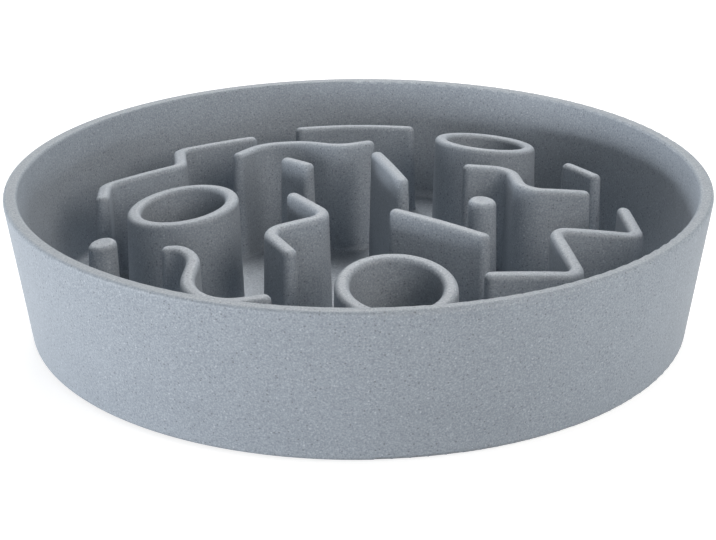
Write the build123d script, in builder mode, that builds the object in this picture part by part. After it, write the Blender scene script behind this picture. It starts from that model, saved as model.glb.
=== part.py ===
from build123d import *
import os
from math import atan2, cos, degrees, hypot, radians, sin, sqrt, tan

# A round slow feeder bowl. A flat floor carries a side wall that leans outwards and a maze of
# drafted ridges, whose rounded crests follow one shallow dome. Four rubber feet sit in the
# underside. The origin is on the ground under the middle of the bowl, +Z is up.

# Bowl, in millimetres
BOWL_DIAMETER = 240.0  # across the outside, under the rounding of the lip
BOWL_HEIGHT = 50.3  # from the underside to the top of the lip
BASE_DIAMETER = 227.7  # across the outside, above the rounding of the base
WALL_THICKNESS = 4.6  # side wall, measured level
FLOOR_THICKNESS = 4.2
LIP_ROUNDING = 1.2
BASE_ROUNDING = 1.8
FLOOR_COVE = 3.0  # hollow where the side wall runs into the floor
TOE_LAND = 0.3  # level strip of the side wall's foot, inside its hollow
REGISTER_DEPTH = 0.4  # step in the floor that centres the side wall
SEAT_CLEARANCE = 0.05  # between a step or a pocket and what sits in it

# Ridges
RIDGE_THICKNESS = 4.6  # just below the rounding of the crest, where the dome is highest
RIDGE_DRAFT = 1.4  # lean of each flank, in degrees
ROOT_COVE = 1.5  # hollow where a ridge runs into the floor
ROOT_FLATS = 2  # narrow flats that make up the hollow
CREST_LAND = 0.5  # left on each side of the crest's middle by the rounding
CREST_HEIGHT = 48.0  # of the dome above the underside, at the bowl's axis
DOME_RADIUS = 470.0
CORNER_HOLLOW = 0.3  # radius of the inside of a sharp bend, at the floor
RING_DIAMETER = 33.2  # on the middle of a ring's wall
POST_DIAMETER = 9.4

# Rubber feet
FOOT_DIAMETER = 16.0
FOOT_HEIGHT = 2.2
FOOT_STANDOFF = 1.0  # below the underside
FOOT_EDGE = 0.4  # rounding of the foot's lower edge
FOOT_INSET = 20.0  # from the edge of the underside to the middle of a foot
FOOT_COUNT = 4

# Heights above the ground, and radii of the bowl
underside = FOOT_STANDOFF
floor_top = underside + FLOOR_THICKNESS
seat_top = floor_top - REGISTER_DEPTH
lip_top = underside + BOWL_HEIGHT
dome_centre = underside + CREST_HEIGHT - DOME_RADIUS
base_radius = BASE_DIAMETER / 2
lip_radius = BOWL_DIAMETER / 2
wall_rise = BOWL_HEIGHT - LIP_ROUNDING - BASE_ROUNDING
wall_lean = degrees(atan2(lip_radius - base_radius, wall_rise))


def outside_radius(height):
    """Radius of the bowl's outside at a height above the ground, on the straight run of the wall."""
    return base_radius + (height - underside - BASE_ROUNDING) * tan(radians(wall_lean))


floor_radius = outside_radius(floor_top) - WALL_THICKNESS
lip_inside = outside_radius(lip_top) - WALL_THICKNESS
maze_radius = min(floor_radius, lip_inside)  # of the upright space that the wall leaves clear
cove_reach = FLOOR_COVE / tan(radians(90 + wall_lean) / 2)  # from the wall to where its hollow ends
register_radius = floor_radius - cove_reach - TOE_LAND
crest_rounding = RIDGE_THICKNESS / 2 - CREST_LAND
flat_turn = 90 / ROOT_FLATS  # degrees from one flat to the next
outline_trim = 2 * RIDGE_THICKNESS * tan(radians(RIDGE_DRAFT))  # lost by the draft up to the outline
outline_width = RIDGE_THICKNESS - outline_trim
flank_height = CREST_HEIGHT + RIDGE_THICKNESS / 2 - FLOOR_THICKNESS  # from the floor up to the outline
foot_spread = flank_height * tan(radians(RIDGE_DRAFT)) + ROOT_COVE  # of each flank, down to the floor
corner_radius = outline_width / 2 + foot_spread + CORNER_HOLLOW  # of a sharp bend, on the middle line
POLES_LEVEL = (90, 0, 0)  # turn that keeps the dome's poles away from the crests

# Plan of the maze: every place and every wide bend is a share of the maze's radius, so that the
# maze fills a larger or a smaller bowl in the same way. +X is right, +Y is back.
CORNERED_RIDGES = {
    "step_ridge_left": [(-0.377, 0.651), (-0.620, 0.565), (-0.589, 0.317), (-0.829, 0.214), (-0.819, 0.080)],
    "step_ridge_right": [(0.374, -0.629), (0.630, -0.579), (0.581, -0.308), (0.845, -0.260), (0.830, -0.058)],
    "zigzag_ridge": [(-0.199, -0.114), (-0.087, -0.283), (-0.274, -0.371), (-0.200, -0.507)],
}
BENT_RIDGES = {
    "wave_ridge": [(-0.398, 0.381), (-0.328, 0.499), (-0.193, 0.499), (-0.060, 0.410), (0.034, 0.476)],
    "s_ridge_front": [(-0.555, -0.428), (-0.524, -0.429), (-0.470, -0.497), (-0.503, -0.783), (-0.262, -0.754)],
    "s_ridge_right": [(0.361, 0.194), (0.494, 0.206), (0.520, -0.007), (0.714, 0.047)],
}
BENDS = {
    "wave_ridge": [0.109, 0.182, 0.082],
    "s_ridge_front": [0.064, 0.119, 0.146],
    "s_ridge_right": [0.062, 0.062],
}
BARS = {
    "short_bar_centre": [(-0.231, 0.257), (-0.165, 0.181)],
    "short_bar_right": [(0.707, 0.364), (0.780, 0.273)],
    "long_bar_back": [(0.064, 0.302), (0.137, 0.019)],
    "long_bar_front": [(0.115, -0.254), (0.364, -0.397)],
}
POSTS = {"post_left": (-0.763, -0.326), "post_right": (0.380, -0.142)}
RINGS = {"ring_front": (0.104, -0.704), "ring_back": (0.440, 0.582), "ring_left": (-0.541, -0.113)}
CURVED_BAR_REACH = 0.838  # from the bowl's axis to the bar that runs along the wall
CURVED_BAR_START = 77.5  # degrees from +X to its right end
CURVED_BAR_SWEEP = 26.5  # degrees


def on_floor(point):
    """A place of the plan in millimetres."""
    return point[0] * maze_radius, point[1] * maze_radius


def outline_height(nearest):
    """Height at which the outline of a ridge is drawn: half its thickness above the highest of its
    crest, where the ridge is nearest to the axis."""
    return dome_centre + sqrt(DOME_RADIUS**2 - nearest**2) + RIDGE_THICKNESS / 2


def stand_on_floor(piece, height):
    """Widen an outline drawn at a height down to the floor, with flats for the hollow at its foot, then
    cut its crest to the dome and round it."""
    extrude(amount=floor_top + ROOT_COVE - height, taper=-RIDGE_DRAFT)
    for flat in range(ROOT_FLATS):
        drop = ROOT_COVE * (sin(radians((flat + 1) * flat_turn)) - sin(radians(flat * flat_turn)))
        extrude(piece.faces().sort_by(Axis.Z)[0], amount=drop, taper=-(flat + 0.5) * flat_turn)
    with Locations((0, 0, dome_centre)):
        Sphere(DOME_RADIUS, rotation=POLES_LEVEL, mode=Mode.INTERSECT)
    fillet(piece.faces().sort_by(Axis.Z)[-1].edges(), crest_rounding)


def write(piece, name):
    """Label a finished piece and write its file."""
    piece.part.label = name
    export_step(piece.part, f"parts/{name}.step")


os.makedirs("parts", exist_ok=True)

# Floor: a disc with a rounded edge below, a step above that the side wall sits on, and pockets
# in the underside for the feet
with BuildPart() as bowl_floor:
    with BuildSketch(Plane.XZ) as floor_section:
        with BuildLine():
            Polyline(
                (0, underside),
                (outside_radius(underside), underside),
                (outside_radius(seat_top), seat_top),
                (register_radius, seat_top),
                (register_radius, floor_top),
                (0, floor_top),
                close=True,
            )
        make_face()
        fillet(floor_section.vertices().group_by(Axis.Y)[0].sort_by(Axis.X)[-1], BASE_ROUNDING)
    revolve(axis=Axis.Z)
    with BuildSketch(Plane.XY.offset(underside)):
        with PolarLocations(base_radius - FOOT_INSET, FOOT_COUNT, start_angle=180 / FOOT_COUNT):
            Circle(FOOT_DIAMETER / 2 + SEAT_CLEARANCE)
    extrude(amount=FOOT_HEIGHT - FOOT_STANDOFF, mode=Mode.SUBTRACT)
write(bowl_floor, "bowl_floor")

# Side wall: one section turned about the bowl's axis, with a rounded lip and a hollow at its foot
with BuildPart() as side_wall:
    with BuildSketch(Plane.XZ) as wall_section:
        toe = register_radius + SEAT_CLEARANCE
        with BuildLine():
            Polyline(
                (outside_radius(seat_top), seat_top),
                (outside_radius(lip_top), lip_top),
                (lip_inside, lip_top),
                (floor_radius, floor_top),
                (toe, floor_top),
                (toe, seat_top),
                close=True,
            )
        make_face()
        fillet(wall_section.vertices().group_by(Axis.Y)[-1], LIP_ROUNDING)
        fillet(wall_section.vertices().group_by(Axis.Y)[1].sort_by(Axis.X)[-1], FLOOR_COVE)
    revolve(axis=Axis.Z)
write(side_wall, "side_wall")

# Ridges along a middle line of several runs, with sharp or wide bends, and straight bars
for name, points in {**CORNERED_RIDGES, **BENT_RIDGES, **BARS}.items():
    places = [on_floor(point) for point in points]
    radii = [share * maze_radius for share in BENDS.get(name, [])] or corner_radius
    height = outline_height(min(hypot(*place) for place in places))
    with BuildPart() as ridge:
        with BuildLine() as middle:
            if name in BARS:
                Line(*places)
            else:
                FilletPolyline(*places, radius=radii)
        with BuildSketch(Plane.XY.offset(height)):
            SlotArc(middle.wire(), height=outline_width)
        stand_on_floor(ridge, height)
    write(ridge, name)

# Bar at the back, bent along the wall
with BuildPart() as curved_bar:
    curved_reach = CURVED_BAR_REACH * maze_radius
    height = outline_height(curved_reach)
    with BuildLine() as curved_middle:
        CenterArc((0, 0), curved_reach, CURVED_BAR_START, CURVED_BAR_SWEEP)
    with BuildSketch(Plane.XY.offset(height)):
        SlotArc(curved_middle.wire(), height=outline_width)
    stand_on_floor(curved_bar, height)
write(curved_bar, "curved_bar")

# Round posts
for name, share in POSTS.items():
    place = on_floor(share)
    height = outline_height(hypot(*place))
    with BuildPart() as post:
        with BuildSketch(Plane((*place, height))):
            Circle((POST_DIAMETER - outline_trim) / 2)
        stand_on_floor(post, height)
    write(post, name)

# Rings: an open wall that narrows upwards on both sides
for name, share in RINGS.items():
    place = on_floor(share)
    height = outline_height(hypot(*place) - RING_DIAMETER / 2)
    with BuildPart() as ring:
        with BuildSketch(Plane((*place, height))):
            Circle((RING_DIAMETER + outline_width) / 2)
            Circle((RING_DIAMETER - outline_width) / 2, mode=Mode.SUBTRACT)
        stand_on_floor(ring, height)
    write(ring, name)

# Rubber feet, pressed into the pockets of the underside
for index in range(FOOT_COUNT):
    angle = radians((index + 0.5) * 360 / FOOT_COUNT)
    foot_x = (base_radius - FOOT_INSET) * cos(angle)
    foot_y = (base_radius - FOOT_INSET) * sin(angle)
    with BuildPart() as rubber_foot:
        with BuildSketch(Plane((foot_x, foot_y, 0))):
            Circle(FOOT_DIAMETER / 2)
        extrude(amount=FOOT_HEIGHT)
        fillet(rubber_foot.edges().group_by(Axis.Z)[0], FOOT_EDGE)
    write(rubber_foot, f"rubber_foot_{index + 1}")
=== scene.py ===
"""Looks of a round slow feeder bowl, moulded from a speckled plant-fibre composite on rubber feet."""

import logging
import math
from dataclasses import dataclass
from enum import Enum

import bmesh
import bpy
from mathutils import Matrix, Vector


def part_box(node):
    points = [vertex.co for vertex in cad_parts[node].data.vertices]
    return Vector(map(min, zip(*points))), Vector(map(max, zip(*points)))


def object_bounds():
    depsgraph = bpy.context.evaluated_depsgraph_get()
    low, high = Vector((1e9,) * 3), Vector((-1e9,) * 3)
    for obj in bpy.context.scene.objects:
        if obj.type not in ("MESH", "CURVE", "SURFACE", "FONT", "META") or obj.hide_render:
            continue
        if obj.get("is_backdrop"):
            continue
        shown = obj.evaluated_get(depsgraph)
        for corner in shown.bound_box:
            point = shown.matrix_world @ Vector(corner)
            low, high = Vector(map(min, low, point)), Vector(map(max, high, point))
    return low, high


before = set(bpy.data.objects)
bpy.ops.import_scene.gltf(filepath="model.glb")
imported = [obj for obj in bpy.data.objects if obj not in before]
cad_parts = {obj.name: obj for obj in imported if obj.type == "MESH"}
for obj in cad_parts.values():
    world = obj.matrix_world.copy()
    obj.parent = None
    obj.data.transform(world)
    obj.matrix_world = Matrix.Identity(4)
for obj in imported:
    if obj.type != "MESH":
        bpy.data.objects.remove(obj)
log = logging.getLogger("slow_feeder_bowl")
Colour = tuple[float, float, float, float]
Tint = tuple[float, float, float]
Point = tuple[float, float, float]
Span = tuple[float, float]
Socket = bpy.types.NodeSocket

MM = 0.001
PHOTO_WIDTH = 716
FOOT_PREFIX = "rubber_foot"
WHITE: Colour = (1.0, 1.0, 1.0, 1.0)
WARM: Tint = (1.0, 0.93, 0.86)
SOFT_WARM: Tint = (1.0, 0.98, 0.96)
SOFT_COOL: Tint = (0.95, 0.97, 1.0)
COOL: Tint = (0.86, 0.94, 1.0)


class Slot(Enum):
    """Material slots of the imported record."""

    COMPOSITE = "composite"
    RUBBER = "rubber"


class Blend(Enum):
    """Ways to mix two colours."""

    MIX = "MIX"
    MULTIPLY = "MULTIPLY"


def srgb(red: int, green: int, blue: int) -> Colour:
    """Turn a display colour into the linear one that a shader socket takes.

    Args:
        red: Red from 0 to 255.
        green: Green from 0 to 255.
        blue: Blue from 0 to 255.

    Returns:
        The linear colour with full alpha.
    """
    linear = []
    for level in (red, green, blue):
        share = level / 255
        # The two pieces of the standard sRGB curve
        linear.append(share / 12.92 if share <= 0.04045 else ((share + 0.055) / 1.055) ** 2.4)
    return linear[0], linear[1], linear[2], 1.0


@dataclass(frozen=True)
class Fleck:
    """One kind of fibre fleck, with its lengths in metres.

    The core is the part of a fleck's size that has its full colour. The share is that of the cells with a
    fleck, and sure is the part of them that shows it in full. The shift sets two kinds of fleck apart.
    """

    spacing: float
    size: float
    share: float
    shift: float
    core: float = 0.55
    sure: float = 0.7


class NodeGraph:
    """A node tree of a material or a world, with short calls to add nodes and wire them."""

    # Colour sockets of a mix node by number, since its sockets for other data have the same names
    MIX_FACTOR = 0
    MIX_FIRST = 6
    MIX_SECOND = 7
    MIX_RESULT = 2

    def __init__(self, owner: bpy.types.Material | bpy.types.World) -> None:
        """Start with an empty tree.

        Args:
            owner: Material or world that the tree belongs to.
        """
        owner.use_nodes = True
        self.tree = owner.node_tree
        self.tree.nodes.clear()

    def add(self, kind: str, inputs: dict | None = None, **settings: object) -> bpy.types.Node:
        """Add a node.

        Args:
            kind: Blender's name of the node type.
            inputs: Input name or number to a value, or to an output socket to wire in.
            settings: Attributes of the node, set before its inputs.

        Returns:
            The new node.
        """
        node = self.tree.nodes.new(kind)
        for attribute, value in settings.items():
            setattr(node, attribute, value)
        for key, value in (inputs or {}).items():
            if isinstance(value, Socket):
                self.tree.links.new(value, node.inputs[key])
            else:
                node.inputs[key].default_value = value
        return node

    def place(self) -> Socket:
        """Return the socket of the object's own coordinates, in metres."""
        return self.add("ShaderNodeTexCoord").outputs["Object"]

    def combine(self, operation: str, first: Socket, second: Socket) -> Socket:
        """Combine two numbers.

        Args:
            operation: Blender's name of the operation.
            first: The first number's socket.
            second: The second number's socket.

        Returns:
            The result's socket.
        """
        return self.add("ShaderNodeMath", {0: first, 1: second}, operation=operation).outputs["Value"]

    def ramp(self, factor: Socket, low: float, high: float) -> Socket:
        """Map a factor from low..high to 0..1, clamped and eased.

        Args:
            factor: The socket to map.
            low: Where the result is 0.
            high: Where the result is 1.

        Returns:
            The mapped socket.
        """
        inputs = {"Value": factor, "From Min": low, "From Max": high}
        return self.add("ShaderNodeMapRange", inputs, interpolation_type="SMOOTHSTEP").outputs["Result"]

    def mix(self, factor: Socket, first: Colour | Socket, second: Colour, blend: Blend = Blend.MIX) -> Socket:
        """Mix two colours.

        Args:
            factor: Socket that is 0 for the first colour and 1 for the mix in full.
            first: Colour or socket.
            second: Colour.
            blend: How the second colour acts on the first.

        Returns:
            The mixed colour's socket.
        """
        inputs = {self.MIX_FACTOR: factor, self.MIX_FIRST: first, self.MIX_SECOND: second}
        node = self.add("ShaderNodeMix", inputs, data_type="RGBA", blend_type=blend.value)
        return node.outputs[self.MIX_RESULT]

    def noise(self, place: Socket, grain: float, detail: float) -> Socket:
        """Add a noise of a given grain.

        Args:
            place: Coordinates in metres.
            grain: Size of the noise's patches in metres.
            detail: Octaves of finer noise.

        Returns:
            The noise's factor socket.
        """
        inputs = {"Vector": place, "Scale": 1 / grain, "Detail": detail}
        # The factor is the first output, whatever its name
        return self.add("ShaderNodeTexNoise", inputs).outputs[0]

    def flecks(self, place: Socket, kind: Fleck) -> Socket:
        """Scatter flecks through the material.

        Args:
            place: Coordinates in metres.
            kind: Spacing, size and share of the flecks.

        Returns:
            A socket that is 1 in a fleck and 0 elsewhere.
        """
        shift = (kind.shift, kind.shift, kind.shift)
        moved = self.add("ShaderNodeVectorMath", {0: place, 1: shift}).outputs["Vector"]
        cells = self.add("ShaderNodeTexVoronoi", {"Vector": moved, "Scale": 1 / kind.spacing})
        reach = kind.size / kind.spacing
        dot = self.ramp(cells.outputs["Distance"], reach, kind.core * reach)
        chance = self.add("ShaderNodeSeparateColor", {"Color": cells.outputs["Color"]}).outputs["Red"]
        chosen = self.ramp(chance, kind.share, kind.share * kind.sure)
        return self.combine("MULTIPLY", dot, chosen)

    def relief(self, height: Socket, depth: float) -> Socket:
        """Raise the surface a little.

        Args:
            height: Socket of the height, from 0 to 1.
            depth: Height of 1 in metres.

        Returns:
            The socket of the normals.
        """
        inputs = {"Strength": 1.0, "Distance": depth, "Height": height}
        return self.add("ShaderNodeBump", inputs).outputs["Normal"]

    def shown_rays(self) -> Socket:
        """Tell the rays that show a background from those that carry its light.

        Returns:
            A socket that is 1 for camera, glossy and transmission rays.
        """
        path = self.add("ShaderNodeLightPath").outputs
        seen = self.combine("MAXIMUM", path["Is Camera Ray"], path["Is Glossy Ray"])
        return self.combine("MAXIMUM", seen, path["Is Transmission Ray"])

    def finish(self, shader: Socket, output: str = "ShaderNodeOutputMaterial") -> None:
        """Wire the shader to the tree's output.

        Args:
            shader: The shader's socket.
            output: Blender's name of the output node.
        """
        self.add(output, {"Surface": shader})


@dataclass(frozen=True)
class CompositeFinish:
    """Moulded plant-fibre composite: blue-grey, satin, with a fine speckle.

    The top of the lip gets painted shade: a darker colour is multiplied in over a given depth below the lip's
    top, and in full over a given part of that depth.
    """

    name: str = "speckled_composite"
    base: Colour = srgb(151, 159, 168)
    cloud: Colour = srgb(148, 156, 165)
    cloud_size: float = 9 * MM
    cloud_detail: float = 2.0
    cloud_span: Span = (0.35, 0.65)
    grain: float = 0.55 * MM
    grain_detail: float = 1.0
    grain_middle: float = 0.5
    grain_span: Span = (0.22, 0.78)
    grain_dark: Colour = srgb(130, 138, 147)
    grain_light: Colour = srgb(171, 179, 187)
    light: Fleck = Fleck(spacing=1.9 * MM, size=0.36 * MM, share=0.3, shift=0.37)
    light_fleck: Colour = srgb(181, 188, 195)
    dark: Fleck = Fleck(spacing=1.4 * MM, size=0.38 * MM, share=0.4, shift=0.0)
    dark_fleck: Colour = srgb(121, 127, 134)
    # Painted shade: the darker colour multiplied into the lip's top
    painted_lip_shade: Colour = (0.82, 0.83, 0.83, 1.0)
    painted_lip_shade_depth: float = 1.0 * MM
    painted_lip_shade_full: float = 0.3
    roughness: Span = (0.50, 0.62)
    specular: float = 0.4
    relief: float = 0.012 * MM

    def material(self, lip_top: float) -> bpy.types.Material:
        """Build the node material.

        Args:
            lip_top: Height of the lip's top in metres.

        Returns:
            The material.
        """
        material = bpy.data.materials.new(self.name)
        graph = NodeGraph(material)
        place = graph.place()
        grain = graph.noise(place, self.grain, self.grain_detail)
        gloss = {"Value": grain, "To Min": self.roughness[0], "To Max": self.roughness[1]}
        inputs = {
            "Base Color": self.paint_lip_shade(graph, place, self.speckle(graph, place, grain), lip_top),
            "Roughness": graph.add("ShaderNodeMapRange", gloss).outputs["Result"],
            "Specular IOR Level": self.specular,
            "Normal": graph.relief(grain, self.relief),
        }
        graph.finish(graph.add("ShaderNodeBsdfPrincipled", inputs).outputs["BSDF"])
        return material

    def speckle(self, graph: NodeGraph, place: Socket, grain: Socket) -> Socket:
        """Mix the clouds, the grain and the flecks into the base colour.

        Args:
            graph: The material's nodes.
            place: Coordinates in metres.
            grain: The grain's noise.

        Returns:
            The colour's socket.
        """
        clouds = graph.ramp(graph.noise(place, self.cloud_size, self.cloud_detail), *self.cloud_span)
        colour = graph.mix(clouds, self.base, self.cloud)
        darkest, lightest = self.grain_span
        colour = graph.mix(graph.ramp(grain, self.grain_middle, darkest), colour, self.grain_dark)
        colour = graph.mix(graph.ramp(grain, self.grain_middle, lightest), colour, self.grain_light)
        colour = graph.mix(graph.flecks(place, self.light), colour, self.light_fleck)
        return graph.mix(graph.flecks(place, self.dark), colour, self.dark_fleck)

    def paint_lip_shade(self, graph: NodeGraph, place: Socket, colour: Socket, lip_top: float) -> Socket:
        """Paint shade on the top of the lip.

        Args:
            graph: The material's nodes.
            place: Coordinates in metres.
            colour: The colour's socket.
            lip_top: Height of the lip's top in metres.

        Returns:
            The socket of the colour with painted shade on the lip's top.
        """
        height = graph.add("ShaderNodeSeparateXYZ", {"Vector": place}).outputs["Z"]
        painted_shade_full_depth = self.painted_lip_shade_full * self.painted_lip_shade_depth
        # Mask of the painted shade on the lip's top, in full nearest the top
        painted_shade_mask = graph.ramp(height, lip_top - self.painted_lip_shade_depth, lip_top - painted_shade_full_depth)
        return graph.mix(painted_shade_mask, colour, self.painted_lip_shade, Blend.MULTIPLY)


@dataclass(frozen=True)
class RubberFinish:
    """Soft dark rubber of the feet, a little paler where it is worn."""

    name: str = "dark_rubber"
    base: Colour = srgb(52, 53, 55)
    worn: Colour = srgb(66, 67, 69)
    worn_span: Span = (0.3, 0.7)
    grain: float = 0.6 * MM
    grain_detail: float = 2.0
    roughness: float = 0.8
    relief: float = 0.02 * MM

    def material(self) -> bpy.types.Material:
        """Build the node material.

        Returns:
            The material.
        """
        material = bpy.data.materials.new(self.name)
        graph = NodeGraph(material)
        grain = graph.noise(graph.place(), self.grain, self.grain_detail)
        inputs = {
            "Base Color": graph.mix(graph.ramp(grain, *self.worn_span), self.base, self.worn),
            "Roughness": self.roughness,
            "Normal": graph.relief(grain, self.relief),
        }
        graph.finish(graph.add("ShaderNodeBsdfPrincipled", inputs).outputs["BSDF"])
        return material


def dress_node(node: bpy.types.Object, material: bpy.types.Material) -> None:
    """Show a CAD node in a material.

    Args:
        node: The CAD node.
        material: The material it gets.
    """
    node.data.materials.clear()
    node.data.materials.append(material)
    log.info("dressed %s in %s", node.name, material.name)


@dataclass(frozen=True)
class Moulding:
    """The moulded bowl: its floor, its side wall and the ridges of the maze."""

    finish: CompositeFinish = CompositeFinish()

    def dress(self) -> None:
        """Give every node of the moulding its finish."""
        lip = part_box("side_wall")[1]
        material = self.finish.material(lip.z)
        for name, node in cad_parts.items():
            if not name.startswith(FOOT_PREFIX):
                dress_node(node, material)


@dataclass(frozen=True)
class Feet:
    """The rubber feet in the underside."""

    finish: RubberFinish = RubberFinish()

    def dress(self) -> None:
        """Give every foot its finish."""
        material = self.finish.material()
        for name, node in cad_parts.items():
            if name.startswith(FOOT_PREFIX):
                dress_node(node, material)


@dataclass(frozen=True)
class Lamp:
    """A lit rectangle that faces the bowl, in metres and watts."""

    name: str
    place: Point
    width: float
    height: float
    power: float
    tint: Tint

    def build(self, target: Vector) -> None:
        """Hang the lamp and turn it to the target.

        Args:
            target: Point that the lamp faces.
        """
        data = bpy.data.lights.new(self.name, "AREA")
        data.shape = "RECTANGLE"
        data.size = self.width
        data.size_y = self.height
        data.energy = self.power
        data.color = self.tint
        lamp = bpy.data.objects.new(self.name, data)
        lamp.location = self.place
        lamp.rotation_mode = "QUATERNION"
        lamp.rotation_quaternion = (target - Vector(self.place)).to_track_quat("-Z", "Y")
        bpy.context.scene.collection.objects.link(lamp)


@dataclass(frozen=True)
class Studio:
    """A pale paper floor with two low strips and three softboxes around it, in a dim white room."""

    floor_size: float = 6.0
    floor_colour: Colour = srgb(180, 181, 182)
    floor_glow: float = 0.8
    sky: float = 0.09
    shown_sky: float = 1.0
    lamps: tuple[Lamp, ...] = (
        Lamp("strip_left", (-1.39, -0.56, 0.11), 0.8, 0.18, 20.4, SOFT_COOL),
        Lamp("strip_right", (1.41, -0.51, 0.11), 0.8, 0.18, 5.8, COOL),
        Lamp("softbox_front", (0.0, -1.48, 0.29), 0.6, 0.4, 3.0, SOFT_COOL),
        Lamp("softbox_front_right", (0.9, -0.9, 0.82), 0.8, 0.8, 9.4, WARM),
        Lamp("softbox_back", (0.0, 0.86, 1.26), 0.9, 0.9, 22.5, SOFT_WARM),
    )

    def build(self) -> None:
        """Make the floor, the sky and the lamps."""
        self.build_floor()
        self.build_sky()
        low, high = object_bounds()
        for lamp in self.lamps:
            lamp.build((low + high) / 2)
        log.info("lit by %d lamps", len(self.lamps))

    def build_floor(self) -> None:
        """Lay the paper under the bowl."""
        mesh = bpy.data.meshes.new("studio_floor")
        bm = bmesh.new()
        bmesh.ops.create_grid(bm, x_segments=1, y_segments=1, size=self.floor_size / 2)
        bm.to_mesh(mesh)
        bm.free()
        floor = bpy.data.objects.new("studio_floor", mesh)
        bpy.context.scene.collection.objects.link(floor)
        mesh.materials.append(self.floor_material())
        floor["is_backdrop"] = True

    def floor_material(self) -> bpy.types.Material:
        """Make a pale paper that keeps the bowl's shadow and shows as white.

        Returns:
            The paper's material.
        """
        material = bpy.data.materials.new("pale_paper")
        graph = NodeGraph(material)
        paper = graph.add("ShaderNodeBsdfDiffuse", {"Color": self.floor_colour}).outputs["BSDF"]
        glow = graph.add("ShaderNodeEmission", {"Color": WHITE, "Strength": self.floor_glow})
        both = graph.add("ShaderNodeAddShader", {0: paper, 1: glow.outputs["Emission"]}).outputs["Shader"]
        mix = graph.add("ShaderNodeMixShader", {0: graph.shown_rays(), 1: paper, 2: both})
        graph.finish(mix.outputs["Shader"])
        return material

    def build_sky(self) -> None:
        """Light the room evenly from all around, and show it as white."""
        world = bpy.data.worlds.new("white_room")
        graph = NodeGraph(world)
        dim = graph.add("ShaderNodeBackground", {"Color": WHITE, "Strength": self.sky})
        shown = graph.add("ShaderNodeBackground", {"Color": WHITE, "Strength": self.shown_sky})
        shaders = {1: dim.outputs["Background"], 2: shown.outputs["Background"]}
        mix = graph.add("ShaderNodeMixShader", {0: graph.shown_rays(), **shaders})
        graph.finish(mix.outputs["Shader"], "ShaderNodeOutputWorld")
        bpy.context.scene.world = world


@dataclass(frozen=True)
class PhotoCamera:
    """A camera at the photograph's viewpoint, in metres and degrees.

    The focal length and the place of the optical middle are in pixels of the photograph, and the sensor's
    width is in millimetres.
    """

    distance: float = 0.5480
    height: float = 0.2382
    pitch: float = 22.2985
    roll: float = -0.3063
    focal_pixels: float = 1682.98
    middle_right: float = 0.75
    middle_down: float = 4.88
    sensor: float = 36.0

    def build(self) -> None:
        """Make the camera the scene's own."""
        data = bpy.data.cameras.new("photo_camera")
        data.sensor_width = self.sensor
        data.lens = self.focal_pixels / PHOTO_WIDTH * self.sensor
        data.shift_x = -self.middle_right / PHOTO_WIDTH
        data.shift_y = self.middle_down / PHOTO_WIDTH
        camera = bpy.data.objects.new("photo_camera", data)
        # An unturned camera looks straight down, so a level one is tilted by 90 degrees
        tilt = Matrix.Rotation(math.radians(90 - self.pitch), 4, "X")
        turn = Matrix.Rotation(math.radians(self.roll), 4, "Z")
        camera.matrix_world = Matrix.Translation((0, -self.distance, self.height)) @ tilt @ turn
        bpy.context.scene.collection.objects.link(camera)
        bpy.context.scene.camera = camera


def main() -> None:
    """Dress the bowl, light it and aim the camera."""
    logging.basicConfig(level=logging.INFO, format="%(name)s: %(message)s")
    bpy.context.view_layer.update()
    Moulding().dress()
    Feet().dress()
    Studio().build()
    PhotoCamera().build()
    bpy.context.scene.view_settings.view_transform = "Standard"


if __name__ == "__main__":
    main()
